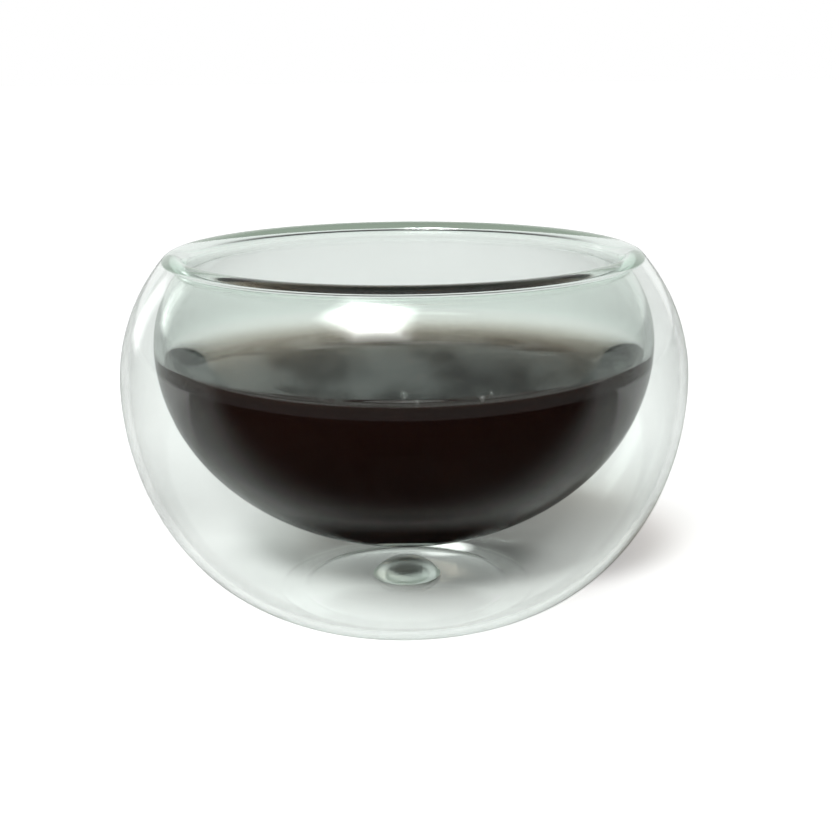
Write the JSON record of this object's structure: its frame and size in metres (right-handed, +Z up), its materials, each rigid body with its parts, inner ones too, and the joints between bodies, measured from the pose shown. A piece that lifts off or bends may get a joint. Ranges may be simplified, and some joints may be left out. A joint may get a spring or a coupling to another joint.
{
  "type": "double walled glass cup",
  "caption": "Low round tea bowl of clear glass, with an inner bowl hung inside a bulging outer shell by a fused round lip, filled with dark tea.",
  "frame": {"origin": "middle of the foot, on the surface that the cup stands on", "axes": "+Z up along the cup's axis; the cup is round, so X and Y are alike"},
  "size_m": [0.08, 0.08, 0.0509],
  "materials": {
    "shell_glass": "polished",
    "bowl_glass": "polished",
    "lip_glass": "polished",
    "seal_glass": "polished",
    "tea": "gloss"
  },
  "bodies": {
    "root": {"outer_shell": "shell_glass", "inner_bowl": "bowl_glass", "lip_ring": "lip_glass", "vent_seal": "seal_glass", "tea": "tea"}
  },
  "joints": []
}
